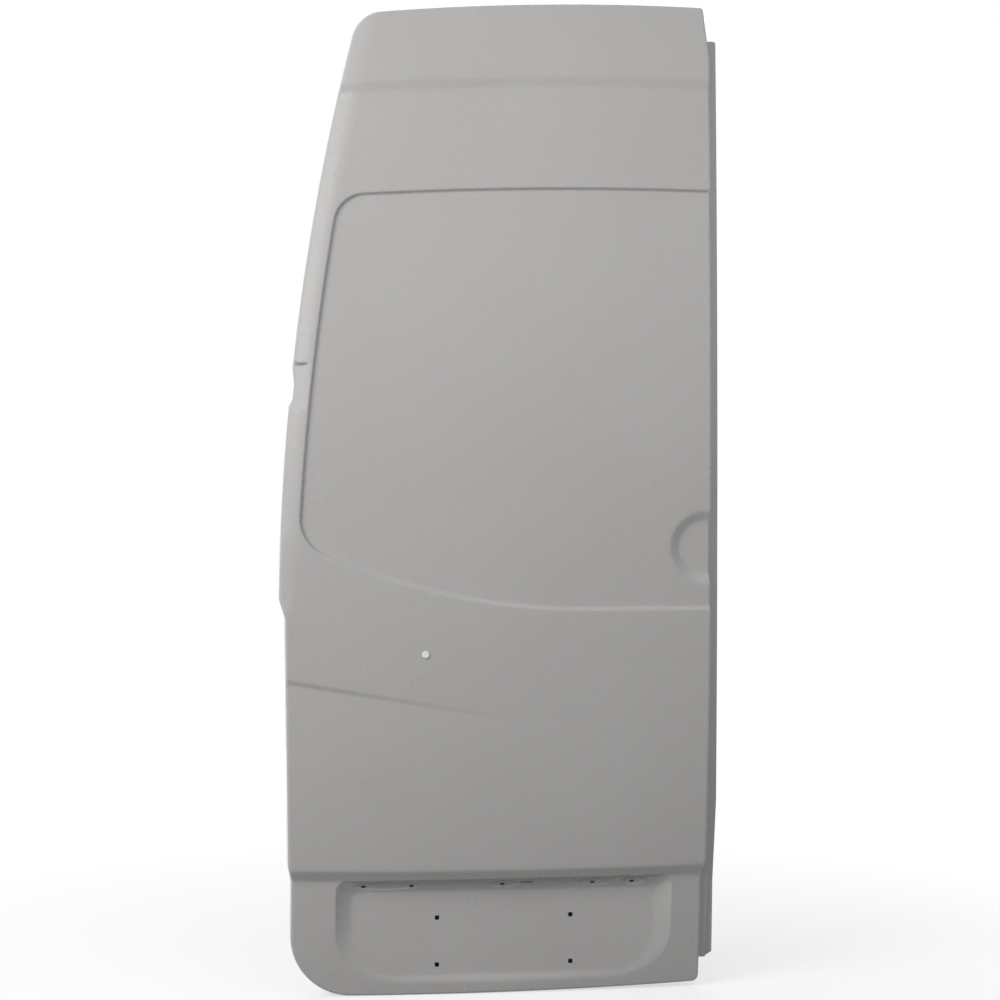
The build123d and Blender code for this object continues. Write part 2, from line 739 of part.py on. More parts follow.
def flange_land_area():
    inner = FRAME_EDGE_X + SEAM + 8
    head = (FLANGE_HEAD_X, FLANGE_HIGH)
    bend = (FLANGE_BEND_X, FLANGE_BEND_HEIGHT)
    neck = (FLANGE_NECK_X, FLANGE_NECK_HEIGHT)
    foot = (FLANGE_FOOT_X, FLANGE_LOW + FLANGE_CUT)
    toe = (FLANGE_STEP_X, FLANGE_LOW)
    edges = [
        ThreePointArc(head, (FLANGE_MID_X, BOW_HEIGHT), bend),
        Line(bend, neck),
        Line(neck, foot),
        Line(foot, toe),
        Line(toe, (inner, FLANGE_LOW)),
        Line((inner, FLANGE_LOW), (inner, FLANGE_HIGH)),
        Line((inner, FLANGE_HIGH), head),
    ]
    return rounded(make_face(edges), [(head, 5.0), (bend, 90.0), (neck, 90.0)])


def meeting_edge_flange():
    # Stepped flange that overlaps the other leaf, folded from the frame edge.
    near = RETURN_DEPTH + SEAM
    far = near + FLANGE_STEP
    edge = FRAME_EDGE_X + SEAM
    brace = FLANGE_HIGH + FLANGE_BRACE
    band = zone(edge - 20, FLANGE_LOW, RIGHT_BOUND, brace)
    to_step = flange_step_area(0.0)
    inside_step = flange_step_area(-SHEET)
    leg = front(zone(edge, FLANGE_LOW, edge + SHEET, brace)) & layer(near, FRAME_BACK - FRAME_RADIUS)
    tread = front(to_step & band) & layer(near, near + SHEET)
    riser = front((to_step - inside_step) & band) & layer(near, far)
    land = front(flange_land_area() - inside_step) & layer(far - SHEET, far)
    return without(leg + tread + riser + land, striker_holes(40))


def hinge_plate(seat_x, height):
    middle = depth(seat_x, height) + SEAT_DEPTH
    x = seat_x + SHEET + SEAM + HINGE_PLATE / 2
    block = Pos(x, middle, height) * Box(HINGE_PLATE, 25, SEAT_TALL - 16)
    return without(block, bolt_row(seat_x, height, 60))


def striker_plate():
    y = depth(SKIN_WIDTH, STRIKER_HEIGHT) + STRIKER_DEPTH
    x = FRAME_EDGE_X - SHEET - SEAM - TAPPING_PLATE / 2
    block = Pos(x, y, STRIKER_HEIGHT) * Box(TAPPING_PLATE, 20, STRIKER_BOLT_RISE + 30)
    return without(block, striker_holes(40))


def tapping_plate(x, z, wide, tall):
    far = FRAME_BACK - SHEET - SEAM
    return front(Pos(x, z) * RectangleRounded(wide, tall, 6)) & layer(far - TAPPING_PLATE, far)


def pads(low_z, near):
    bodies = [Pos(x, low_z) * Circle(PAD_RADIUS) for x in PAD_X]
    return [front(body) & layer(near, FRAME_FRONT - SEAM) for body in bodies]


def header_mastic():
    near = SHEET + SEAM
    return Compound(pads(HEADER_HIGH + RAIL_LIP / 2, near))


def belt_mastic():
    near = SHEET + SEAM
    return Compound(pads(BELT_LOW - RAIL_LIP / 2, near))


def damping_pads():
    near = WINDOW_DEPTH + SHEET + SEAM
    upper = front(Pos(440, 1180) * RectangleRounded(420, 420, 20)) & layer(near, near + DAMPER)
    near = SHEET + SEAM
    lower = front(Pos(560, 420) * RectangleRounded(260, 220, 20)) & layer(near, near + DAMPER)
    return Compound([upper, lower])


def badge_hole_plug():
    # Push-in plug: a low dome on the outside, a stem through the hole.
    y = depth(PLUG_X, PLUG_HEIGHT)
    lean = Vector((PLUG_X - SKIN_WIDTH) / CROWN_RADIUS, -1, (PLUG_HEIGHT - BOW_HEIGHT) / BOW_RADIUS)
    place = Plane((PLUG_X, y, PLUG_HEIGHT), z_dir=lean)
    low_align = (Align.CENTER, Align.CENTER, Align.MIN)
    stem = Pos(0, 0, -5) * Cylinder(PLUG_RADIUS, 5 + SEAM, align=low_align)
    head = Pos(0, 0, SEAM) * Cylinder(PLUG_RADIUS + 1.5, 1.4, align=low_align)
    head = fillet(head.edges().sort_by(Axis.Z)[-1], 1.0)
    return place * (stem + head)


# The frame of the part: origin on the lower hinge seat
PLACE = Pos(
    -LOWER_SEAT_X,
    -(depth(LOWER_SEAT_X, LOWER_HINGE_HEIGHT) + SEAT_DEPTH),
    -LOWER_HINGE_HEIGHT,
)


def save(name, shape):
    export_step(PLACE * shape, "parts/" + name + ".step")


os.makedirs("parts", exist_ok=True)
save("outer_skin", outer_skin())
save("meeting_edge_flange", meeting_edge_flange())
save("badge_hole_plug", badge_hole_plug())
save("hinge_stile", hinge_stile())
save("lock_stile", lock_stile())
save("top_rail", top_rail())
save("header_rail", header_rail())
save("belt_rail", belt_rail())
save("lower_inner_panel", lower_inner_panel())
save("sill_rail", sill_rail())
save("upper_hinge_plate", hinge_plate(UPPER_SEAT_X, UPPER_HINGE_HEIGHT))
save("lower_hinge_plate", hinge_plate(LOWER_SEAT_X, LOWER_HINGE_HEIGHT))
save("striker_plate", striker_plate())
save("top_latch_plate", tapping_plate(LATCH_X, STILE_TOP + 50, 60, 60))
save("bottom_latch_plate", tapping_plate(LATCH_X, 200, 60, 80))
save("header_mastic", header_mastic())
save("belt_mastic", belt_mastic())
save("damping_pads", damping_pads())
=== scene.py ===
import json
import math

import bpy
import numpy as np
from mathutils import Matrix, Vector
from mathutils.geometry import delaunay_2d_cdt


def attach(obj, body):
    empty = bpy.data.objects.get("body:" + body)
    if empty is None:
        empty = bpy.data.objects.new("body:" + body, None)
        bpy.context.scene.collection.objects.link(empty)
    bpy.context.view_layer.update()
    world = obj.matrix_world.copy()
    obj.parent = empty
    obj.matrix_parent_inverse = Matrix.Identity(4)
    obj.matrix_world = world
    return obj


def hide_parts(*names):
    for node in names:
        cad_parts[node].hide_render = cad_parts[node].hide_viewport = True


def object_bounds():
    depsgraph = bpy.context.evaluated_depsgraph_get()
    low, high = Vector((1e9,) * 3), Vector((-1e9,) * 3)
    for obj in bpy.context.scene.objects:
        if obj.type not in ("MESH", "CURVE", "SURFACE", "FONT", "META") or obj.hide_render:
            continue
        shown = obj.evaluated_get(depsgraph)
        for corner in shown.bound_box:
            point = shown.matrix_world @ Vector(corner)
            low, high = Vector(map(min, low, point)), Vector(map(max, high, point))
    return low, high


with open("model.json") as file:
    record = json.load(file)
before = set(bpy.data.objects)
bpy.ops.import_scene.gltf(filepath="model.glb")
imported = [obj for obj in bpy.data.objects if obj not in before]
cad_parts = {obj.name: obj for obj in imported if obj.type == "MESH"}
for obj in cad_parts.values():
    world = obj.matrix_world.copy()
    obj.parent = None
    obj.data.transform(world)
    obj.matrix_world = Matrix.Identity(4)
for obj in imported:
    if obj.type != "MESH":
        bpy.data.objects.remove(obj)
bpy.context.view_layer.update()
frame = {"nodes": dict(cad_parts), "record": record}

# The outer pressing is one height field, fitted to the photo, that stands in for the CAD skin.
# Sizes are in millimetres: x from the hinge side, y inwards, z up.
# A "wall" is the width of a ramp, a "run" is how far a form fades, and "soft" rounds a ramp's ends.
WIDTH = 830.0
HEIGHT = 1957.0
BOW_HEIGHT = 845.0
BOW_RADIUS = 6900.0
CROWN_RADIUS = 7800.0
SHEET = 1.2

# The frame's origin: the middle of the lower hinge seat
HINGE_X = 20.0
HINGE_HEIGHT = 420.0
SEAT_DEPTH = 41.0

# Rounded edge, and the return behind it, which is deeper round the foot
EDGE_RADIUS = 5.0
EDGE_RINGS = 5
EDGE_LEAN_LEAST = -1.0
EDGE_LEAN_MOST = 1.2
RETURN_DEPTH = 26.0
LEAST_RETURN = 1.2
FOOT_RETURN_DEPTH = 50.0
FOOT_RETURN_TOP = 262.0
FOOT_RETURN_TOP_RUN = 22.0
FOOT_RETURN_SIDE = 812.0
FOOT_RETURN_SIDE_RUN = 26.0

# Hinge-side edge above the shoulder
SHOULDER = (-8.0, 776.0)
LEAN = (29.0, 1313.0)
BROW = (148.0, 1921.0)

# Proud brow above a crease
CREASE_HEIGHT = 1788.0
CREASE_FALL = 21.0
CREASE_REACH = 603.0
CREASE_WALL = 19.0
CREASE_SOFT = 0.22
BROW_PROUD = 6.5

# Corner rolled back beside the window
ROLL_WIDTH = 46.0
ROLL_DROP = 15.0
ROLL_RUN = 220.0
ROLL_LOST_ON_BROW = 0.55
ROLL_MOST = 1.3

# Strip turned back above the shoulder
STRIP_WIDTH = 25.0
STRIP_SLOPE = 0.24
STRIP_SOFT = 4.0
STRIP_LOW = 742.0
STRIP_LOW_RUN = 34.0
STRIP_HIGH = 1012.0
STRIP_HIGH_RUN = 84.0
STRIP_JOIN = 1.5

# Lower step
STEP_HEIGHT = 246.7
STEP_MIDDLE = 500.0
STEP_SWEEP = 55000.0
STEP_DEPTH = 14.0
STEP_WALL = 20.0
STEP_SOFT = 0.16

# Swage that runs out towards the middle
SWAGE_HINGE_HEIGHT = 623.0
SWAGE_FALL = 76.0
SWAGE_END = (445.0, 546.0)
SWAGE_TURN = 104.0
SWAGE_LENGTH = 457.0
SWAGE_SLOPE = 0.0278
SWAGE_FOOT = 20.0
SWAGE_WALL = 8.0
SWAGE_SOFT = 0.3
SWAGE_LAST_X = 520.0
SWAGE_RUN = 120.0

# Blank window, whose outline closes past the meeting edge
WINDOW_TOP = 1581.0
WINDOW_SILL = 757.0
WINDOW_PAST_EDGE = 40.0
WINDOW_DEPTH = 6.5
WINDOW_WALL = 4.4
WINDOW_SOFT = 0.3

# Finger dish
DISH = (823.0, 876.0)
DISH_RADIUS = 70.0
DISH_DEPTH = 9.0
DISH_WALL = 18.0
DISH_SOFT = 0.16

# Number-plate pocket: an upright floor, deep under the lamp ledge and shallow at its foot
PLATE_X = 435.0
PLATE_HEIGHT = 122.0
PLATE_DEPTH = 30.5
# Floor and mouth: middle height, half width, half height, top and foot corner radii
PLATE_FLOOR_BOX = (PLATE_HEIGHT, 297.0, 79.0, 16.0, 84.0)
PLATE_MOUTH_BOX = (123.75, 331.0, 105.75, 22.0, 108.0)
# Height above a box's middle where the top radius takes over
PLATE_RADIUS_CHANGE = 20.0
PLATE_CRISP = 1.5
PLATE_FOOT_TOP = 85.0
PLATE_FOOT_RUN = 55.0
PLATE_HOLES_ACROSS = (-132.0, 132.0)
PLATE_HOLES_UP = (-64.0, 28.0)
PLATE_HOLE_HALF = (4.25, 4.25)

# Lamp ledge over the plate; each lamp recess is its middle and its half length
LEDGE_HEIGHT = 214.0
LAMP_PADS = ((203.0, 74.0), (434.0, 30.0), (612.0, 37.0), (692.0, 27.0))
LAMP_PAD_RISE = 1.5
LAMP_PAD_HALF_TALL = 10.0
LAMP_PAD_DEPTH = 3.4
LAMP_PAD_WALL = 0.8
LAMP_HOLES = (159.0, 252.0, 431.0, 610.0, 689.0)
LAMP_HOLE_HALF = (4.6, 2.4)
LAMP_SLIT = (477.0, 218.0)
LAMP_SLIT_HALF = (14.0, 1.2)

# Badge hole behind its plug
BADGE_HOLE = (271.0, 670.0)
BADGE_HOLE_HALF = (5.8, 5.8)

# Hinge pocket, with a side that leans along the edge, and the notch it makes in the outline
HINGE_POCKET_LOW = 1142.0
HINGE_POCKET_LOW_WALL = 8.0
HINGE_POCKET_HIGH = 1231.0
HINGE_POCKET_HIGH_WALL = 4.0
HINGE_POCKET_HIGH_SOFT = 0.3
HINGE_POCKET_SIDE = (41.0, 1143.0)
HINGE_POCKET_SIDE_SHIFT = 8.0
HINGE_POCKET_SIDE_TALL = 89.0
HINGE_POCKET_SIDE_WALL = 6.5
HINGE_POCKET_SOFT = 0.2
HINGE_POCKET_DEPTH = 8.5
NOTCH_LOW = 1146.0
NOTCH_LOW_RUN = 16.0
NOTCH_HIGH_RUN = 50.0
NOTCH_DEPTH = 6.0
NOTCH_FAR_X = 100.0

# Spacing of points along the outlines, and how the mesh points keep clear of them
POINT_SPACING = 7.0
CORNER_SPACING = 4.0
CORNER_GAP = 0.5
LEAST_GAP = 0.2
RIM_CLEAR = 2.5
HOLE_CLEAR = 0.8
HOLE_NEAR = 40.0
HOLE_INSIDE = 25.0
MERGE_SIZE = 1.1
TINY = 1e-12


def base_depth(x, z):
    """Depth of the bowed face that all other forms are pressed into."""
    return (z - BOW_HEIGHT) ** 2 / (2 * BOW_RADIUS) + (WIDTH - x) ** 2 / (2 * CROWN_RADIUS)


ORIGIN = np.array([HINGE_X, base_depth(HINGE_X, HINGE_HEIGHT) + SEAT_DEPTH, HINGE_HEIGHT])
PLATE_LEAN = (PLATE_X - WIDTH) / CROWN_RADIUS
PLATE_FLOOR = base_depth(PLATE_X, PLATE_HEIGHT) + PLATE_DEPTH


def placed(points):
    """Millimetres of the door to metres of the frame."""
    return (np.asarray(points, float) - ORIGIN) / 1000.0


def ease(t):
    """Smooth rise from 0 to 1."""
    t = np.clip(t, 0.0, 1.0)
    return t * t * t * (t * (6.0 * t - 15.0) + 10.0)


def lifted(t, soft):
    """Zero below zero, then straight, with a rounded foot."""
    return (t + np.sqrt(t * t + soft * soft)) / 2.0


def ramped(t, soft):
    """Straight ramp from 0 to 1 with rounded ends."""
    return lifted(t, soft) - lifted(t - 1.0, soft)


# Front-view outlines as closed loops of points
def line(a, b):
    a = np.array(a, float)
    b = np.array(b, float)
    count = max(2, int(np.hypot(*(b - a)) / POINT_SPACING) + 1)
    t = np.linspace(0.0, 1.0, count)[:, None]
    return a + (b - a) * t


def half_turn(angle):
    """The same angle between minus and plus half a turn."""
    return (angle + math.pi) % (2 * math.pi) - math.pi


def arc(a, b, c):
    """Arc from a through b to c."""
    (ax, az), (bx, bz), (cx, cz) = a, b, c
    twice_area = 2 * (ax * (bz - cz) + bx * (cz - az) + cx * (az - bz))
    a_square = ax * ax + az * az
    b_square = bx * bx + bz * bz
    c_square = cx * cx + cz * cz
    middle_x = (a_square * (bz - cz) + b_square * (cz - az) + c_square * (az - bz)) / twice_area
    middle_z = (a_square * (cx - bx) + b_square * (ax - cx) + c_square * (bx - ax)) / twice_area
    radius = math.hypot(ax - middle_x, az - middle_z)
    turn = [math.atan2(p[1] - middle_z, p[0] - middle_x) for p in (a, b, c)]
    first = half_turn(turn[1] - turn[0])
    second = half_turn(turn[2] - turn[1])
    count = max(3, int(abs(first + second) * radius / POINT_SPACING) + 1)
    t = np.linspace(turn[0], turn[0] + first + second, count)
    return np.stack([middle_x + radius * np.cos(t), middle_z + radius * np.sin(t)], 1)


def nearest(edge, point):
    """Closest point of an open run of points."""
    along = edge[1:] - edge[:-1]
    t = np.clip(((point - edge[:-1]) * along).sum(1) / (along**2).sum(1), 0.0, 1.0)
    spots = edge[:-1] + along * t[:, None]
    return spots[np.argmin(np.hypot(*(spots - point).T))]


def touching(before, after, centre, radius):
    """Moves a circle until it touches both edges; gives its centre and the two touch points."""
    for _ in range(6):
        touch = np.array([nearest(before, centre), nearest(after, centre)])
        away = centre - touch
        gap = np.hypot(*away.T)
        centre = centre + np.linalg.solve(away / gap[:, None], radius - gap)
    return centre, touch


def rounded_corner(before, after, radius):
    """Arc between two edges and its two touch points, or None where the corner stays as it is."""
    into = before[-1] - before[-2]
    out = after[1] - after[0]
    into = into / np.hypot(*into)
    out = out / np.hypot(*out)
    cross = into[0] * out[1] - into[1] * out[0]
    angle = math.acos(float(np.clip(into @ out, -1, 1)))
    if radius <= 0 or angle < 1e-4:
        return None
    reach = radius * math.tan(angle / 2)
    start = after[0] - into * reach
    centre = start + math.copysign(1.0, cross) * radius * np.array([-into[1], into[0]])
    centre, touch = touching(before, after, centre, radius)
    begin, end = [math.atan2(z, x) for x, z in touch - centre]
    sweep = half_turn(end - begin)
    count = max(4, int(radius * abs(sweep) / CORNER_SPACING) + 2)
    t = begin + sweep * np.linspace(0.0, 1.0, count)
    return centre + radius * np.stack([np.cos(t), np.sin(t)], 1), touch


def joined(radii_and_edges):
    """Closed loop of edges, each given after the radius of the corner it starts at."""
    radii, edges = zip(*radii_and_edges)
    pieces = [edge.copy() for edge in edges]
    corners = []
    for i, radius in enumerate(radii):
        made = rounded_corner(edges[i - 1], edges[i], radius)
        if made is None:
            corners.append(None)
            continue
        corner, touch = made
        corners.append(corner)
        point = edges[i][0]
        for k, spot in ((i - 1, touch[0]), (i, touch[1])):
            far = np.hypot(*(pieces[k] - point).T) > np.hypot(*(spot - point)) + CORNER_GAP
            pieces[k] = pieces[k][far]
    loop = []
    for i, edge in enumerate(pieces):
        sharp_end = corners[(i + 1) % len(pieces)] is None
        if corners[i] is not None:
            loop.extend(corners[i])
        loop.extend(edge[:-1] if sharp_end or corners[i] is None else edge)
    points = np.array(loop)
    keep = np.hypot(*(points - np.roll(points, 1, 0)).T) > LEAST_GAP
    return points[keep]


def skin_loop():
    """Outline of the skin, from the foot up the hinge side and down the meeting edge."""
    foot, on_foot, toe = (827.0, 9.0), (430.0, 0.0), (18.0, 2.0)
    step_low, step_high = (18.0, 230.0), (11.0, 260.0)
    waist, crown = (3.0, 740.0), (466.0, 1948.0)
    peak, head, middle = (838.0, HEIGHT), (847.5, 1850.0), (836.8, 1110.0)
    edge_high, edge_low = (831.5, 260.0), (826.0, 230.0)
    return joined(
        [
            (14.0, arc(foot, on_foot, toe)),
            (120.0, line(toe, step_low)),
            (40.0, line(step_low, step_high)),
            (40.0, line(step_high, waist)),
            (30.0, line(waist, SHOULDER)),
            (26.0, arc(SHOULDER, LEAN, BROW)),
            (66.0, arc(BROW, crown, peak)),
            (6.5, line(peak, head)),
            (120.0, arc(head, middle, edge_high)),
            (30.0, line(edge_high, edge_low)),
            (30.0, line(edge_low, foot)),
        ]
    )


def window_loop():
    """Outline of the blank window; its sill is an arc that runs smoothly into a level line."""
    top, sill, beyond = WINDOW_TOP, WINDOW_SILL, WIDTH + WINDOW_PAST_EDGE
    on_top, top_left = (530.0, top - 2.5), (107.0, top - 24)
    on_side, low_left = (53.5, 1188.0), (30.0, sill + 128)
    level_from = (580.0, sill)
    across, rise = level_from[0] - low_left[0], low_left[1] - sill
    radius = (across**2 + rise**2) / (2 * rise)
    half_way = 0.5 * math.asin(across / radius)
    on_sill = (level_from[0] - radius * math.sin(half_way), sill + radius * (1 - math.cos(half_way)))
    return joined(
        [
            (0.0, arc((beyond, top), on_top, top_left)),
            (62.0, arc(top_left, on_side, low_left)),
            (74.0, arc(low_left, on_sill, level_from)),
            (0.0, line(level_from, (beyond, sill))),
            (0.0, line((beyond, sill), (beyond, top))),
        ]
    )


def signed_distance(x, z, loop):
    """Distance to a closed loop, below zero inside it, worked out for a batch of points at a time."""
    x, z = np.atleast_1d(x).astype(float), np.atleast_1d(z).astype(float)
    a, b = loop, np.roll(loop, -1, 0)
    d = b - a
    square = np.maximum((d**2).sum(1), TINY)
    rise = np.where(np.abs(d[:, 1]) < TINY, TINY, d[:, 1])
    found = np.empty(len(x))
    batch = 3000
    for start in range(0, len(x), batch):
        px, pz = x[start : start + batch, None], z[start : start + batch, None]
        rx, rz = px - a[:, 0], pz - a[:, 1]
        t = np.clip((rx * d[:, 0] + rz * d[:, 1]) / square, 0, 1)
        near = np.sqrt(((rx - t * d[:, 0]) ** 2 + (rz - t * d[:, 1]) ** 2).min(1))
        span = (a[:, 1] > pz) != (b[:, 1] > pz)
        crossing = span & (px < a[:, 0] + (pz - a[:, 1]) * d[:, 0] / rise)
        inside = crossing.sum(1) % 2 == 1
        found[start : start + batch] = np.where(inside, -near, near)
    return found


SKIN = skin_loop()
WINDOW = window_loop()


# Lines that the pressed forms follow
def edge_x(z):
    """Hinge-side edge above the shoulder, as a parabola through its three points."""
    low_slope = (LEAN[0] - SHOULDER[0]) / (LEAN[1] - SHOULDER[1])
    high_slope = (BROW[0] - LEAN[0]) / (BROW[1] - LEAN[1])
    bend = (high_slope - low_slope) / (BROW[1] - SHOULDER[1])
    return SHOULDER[0] + (z - SHOULDER[1]) * (low_slope + bend * (z - LEAN[1]))


def crease_line(x):
    return CREASE_HEIGHT - CREASE_FALL * ((WIDTH - x) / CREASE_REACH) ** 2


def step_line(x):
    return STEP_HEIGHT + (x - STEP_MIDDLE) ** 2 / STEP_SWEEP


def swage_line(x):
    return SWAGE_HINGE_HEIGHT - x * SWAGE_FALL / SWAGE_END[0]


# Pressed forms, as depths behind the base face
def corner_roll(x, z, brow):
    """Rolled corner, less so on the brow, with the strip that runs out into it."""
    edge = edge_x(np.maximum(z, SHOULDER[1]))
    fade = np.clip((z - SHOULDER[1]) / ROLL_RUN, 0.0, 1.0)
    drop = ROLL_DROP * fade * fade * (3.0 - 2.0 * fade) * (1.0 - ROLL_LOST_ON_BROW * brow)
    roll = drop * np.clip((ROLL_WIDTH - x + edge) / ROLL_WIDTH, 0.0, ROLL_MOST) ** 2
    strip = STRIP_WIDTH * ease((STRIP_HIGH - z) / STRIP_HIGH_RUN) - (x - edge)
    strip = STRIP_SLOPE * lifted(strip, STRIP_SOFT) * ease((z - STRIP_LOW) / STRIP_LOW_RUN)
    return roll + lifted(strip - roll, STRIP_JOIN)


def step_depth(x, z):
    return STEP_DEPTH * ramped((step_line(x) - z) / STEP_WALL, STEP_SOFT)


def swage_depth(x, z):
    end_x, end_z = SWAGE_END
    rise = (-SWAGE_TURN * (x - end_x) + end_x * (z - end_z)) / SWAGE_LENGTH
    below = ramped((swage_line(x) - z) / SWAGE_WALL, SWAGE_SOFT)
    return SWAGE_SLOPE * lifted(rise, SWAGE_FOOT) * below * ease((SWAGE_LAST_X - x) / SWAGE_RUN)


def window_depth(x, z):
    inside = WINDOW_WALL / 2 - signed_distance(x, z, WINDOW)
    return WINDOW_DEPTH * ramped(inside / WINDOW_WALL, WINDOW_SOFT)


def dish_depth(x, z):
    inside = DISH_RADIUS - np.hypot(x - DISH[0], z - DISH[1])
    return DISH_DEPTH * ramped(inside / DISH_WALL, DISH_SOFT)


def rounded_box(x, z, height, half_w, half_h, top, foot):
    """Distance to a box with tight top corners and wide bottom ones, below zero inside."""
    up = z - height
    radius = np.where(up > PLATE_RADIUS_CHANGE, top, foot)
    qx = np.abs(x - PLATE_X) - half_w + radius
    qz = np.where(up > PLATE_RADIUS_CHANGE, up, -up) - half_h + radius
    return np.minimum(np.maximum(qx, qz), 0) + np.hypot(np.maximum(qx, 0), np.maximum(qz, 0)) - radius


def plate_share(x, z):
    """0 at the mouth of the pocket, 1 on its floor; the wall is crisp above and soft at the foot."""
    past_floor = np.maximum(rounded_box(x, z, *PLATE_FLOOR_BOX), 0.0)
    in_mouth = np.maximum(-rounded_box(x, z, *PLATE_MOUTH_BOX), 0.0)
    t = in_mouth / (in_mouth + past_floor + 1e-6)
    crisp = 1.0 - (1.0 - t) ** PLATE_CRISP
    return crisp + (ease(t) - crisp) * ease((PLATE_FOOT_TOP - z) / PLATE_FOOT_RUN)


def pad_depth(x, z):
    """Lamp recesses in the pocket's sloping top wall."""
    made = np.zeros_like(x)
    for middle, half in LAMP_PADS:
        up = (z - LEDGE_HEIGHT - LAMP_PAD_RISE) / LAMP_PAD_HALF_TALL
        out = ((x - middle) / half) ** 2 + up**2
        made = np.maximum(made, LAMP_PAD_DEPTH * ease((1.0 - out) / LAMP_PAD_WALL))
    return made


def hinge_pocket_depth(x, z):
    foot_x, foot_z = HINGE_POCKET_SIDE
    side = foot_x + (z - foot_z) * HINGE_POCKET_SIDE_SHIFT / HINGE_POCKET_SIDE_TALL
    beside = ramped((side - x) / HINGE_POCKET_SIDE_WALL, HINGE_POCKET_SOFT)
    below = ramped((HINGE_POCKET_HIGH - z) / HINGE_POCKET_HIGH_WALL, HINGE_POCKET_HIGH_SOFT)
    above = ramped((z - HINGE_POCKET_LOW) / HINGE_POCKET_LOW_WALL, HINGE_POCKET_SOFT)
    return HINGE_POCKET_DEPTH * (beside * below * above)


def face_depth(x, z):
    """Depth of the outer face behind the plane through the meeting edge."""
    y = base_depth(x, z)
    brow = ramped((z - crease_line(x)) / CREASE_WALL, CREASE_SOFT)
    y -= BROW_PROUD * brow
    y += corner_roll(x, z, brow)
    y += step_depth(x, z)
    y += swage_depth(x, z)
    y += window_depth(x, z)
    y += dish_depth(x, z)
    plate_floor = PLATE_FLOOR + PLATE_LEAN * (x - PLATE_X)
    y += (plate_floor - y) * plate_share(x, z) + pad_depth(x, z)
    return y + hinge_pocket_depth(x, z)


def face_slope(x, z, gap=0.35):
    across = (face_depth(x + gap, z) - face_depth(x - gap, z)) / (2 * gap)
    up = (face_depth(x, z + gap) - face_depth(x, z - gap)) / (2 * gap)
    return across, up


def outward_normals(across, up):
    normal = np.stack([across, -np.ones_like(across), up], 1)
    return normal / np.linalg.norm(normal, axis=1)[:, None]


def loop_normals(loop):
    """Outward normal and direction at each point of a closed loop."""
    ahead = np.roll(loop, -1, 0) - loop
    behind = loop - np.roll(loop, 1, 0)
    ahead /= np.hypot(*ahead.T)[:, None]
    behind /= np.hypot(*behind.T)[:, None]
    mean = ahead + behind
    mean /= np.hypot(*mean.T)[:, None]
    area = np.sum(loop[:, 0] * np.roll(loop[:, 1], -1) - np.roll(loop[:, 0], -1) * loop[:, 1])
    return np.stack([mean[:, 1], -mean[:, 0]], 1) * math.copysign(1.0, area), mean


def shifted(loop, amount):
    normals, _ = loop_normals(loop)
    return loop + normals * amount


# Holes through the sheet; the power makes a loop oval at 2 and squarer as it rises
OVAL = 2.0
SLOT = 4.0
SQUARE = 12.0


def around(centre, half, count, power=OVAL):
    t = np.linspace(0, 2 * math.pi, count, endpoint=False)
    c, s = np.cos(t), np.sin(t)
    size = (np.abs(c) ** power + np.abs(s) ** power) ** (-1.0 / power)
    return np.stack([centre[0] + half[0] * c * size, centre[1] + half[1] * s * size], 1)


def hole_loops():
    loops = []
    for across in PLATE_HOLES_ACROSS:
        for up in PLATE_HOLES_UP:
            centre = (PLATE_X + across, PLATE_HEIGHT + up)
            loops.append(around(centre, PLATE_HOLE_HALF, count=24, power=SQUARE))
    for x in LAMP_HOLES:
        loops.append(around((x, LEDGE_HEIGHT), LAMP_HOLE_HALF, count=20))
    loops.append(around(LAMP_SLIT, LAMP_SLIT_HALF, count=28, power=SLOT))
    loops.append(around(BADGE_HOLE, BADGE_HOLE_HALF, count=28))
    return loops


# Mesh points, closest together where the face bends most.
# A field is its low and high x, its low and high z, and its spacing across and up.
FACE_FIELD = (-6.0, 846.0, 6.0, 1956.0, 14.0, 14.0)
HINGE_POCKET_FIELD = (8.0, 58.0, 1134.0, 1241.0, 1.3, 1.3)
LEDGE_FIELD = (118.0, 750.0, 196.0, 232.0, 2.6, 1.7)
PLATE_WALL_FIELD = (90.0, 784.0, 10.0, 236.0, 5.0, 5.0)
PLATE_MOUTH_FIELD = (90.0, 784.0, 60.0, 236.0, 2.4, 2.4)
PLATE_WALL_LEAST = 0.001
PLATE_WALL_MOST = 0.9995
PLATE_MOUTH_NEAR = 3.2
# Distances from the lines that the forms follow
WINDOW_OFFSETS = [side * step for step in (0.4, 1.2, 2.0, 2.9, 4.0, 5.6, 8.0) for side in (-1.0, 1.0)]
DISH_RADII = np.arange(48.0, 75.0, 1.8)
CREASE_OFFSETS = np.arange(-8.0, 28.1, 1.8)
STEP_OFFSETS = np.arange(-26.0, 6.1, 1.6)
SWAGE_OFFSETS = np.arange(-14.0, 6.0, 1.4)
ROLL_OFFSETS = np.arange(7.0, 52.0, 3.5)


def field(low_x, high_x, low_z, high_z, step_x, step_z):
    """Rows of points, every other row moved half a step."""
    x, z = np.meshgrid(np.arange(low_x, high_x, step_x), np.arange(low_z, high_z, step_z))
    x = x + np.where((np.arange(len(x)) % 2)[:, None], step_x / 2, 0.0)
    return np.stack([x.ravel(), z.ravel()], 1)


def rows(x, heights, offsets):
    """Rows of points beside a line across the door."""
    return [np.stack([x, heights + offset], 1) for offset in offsets]


def dish_rings():
    t = np.linspace(0, 2 * math.pi, 84)
    circle = np.stack([np.cos(t), np.sin(t)], 1)
    return [np.array(DISH) + radius * circle for radius in DISH_RADII]


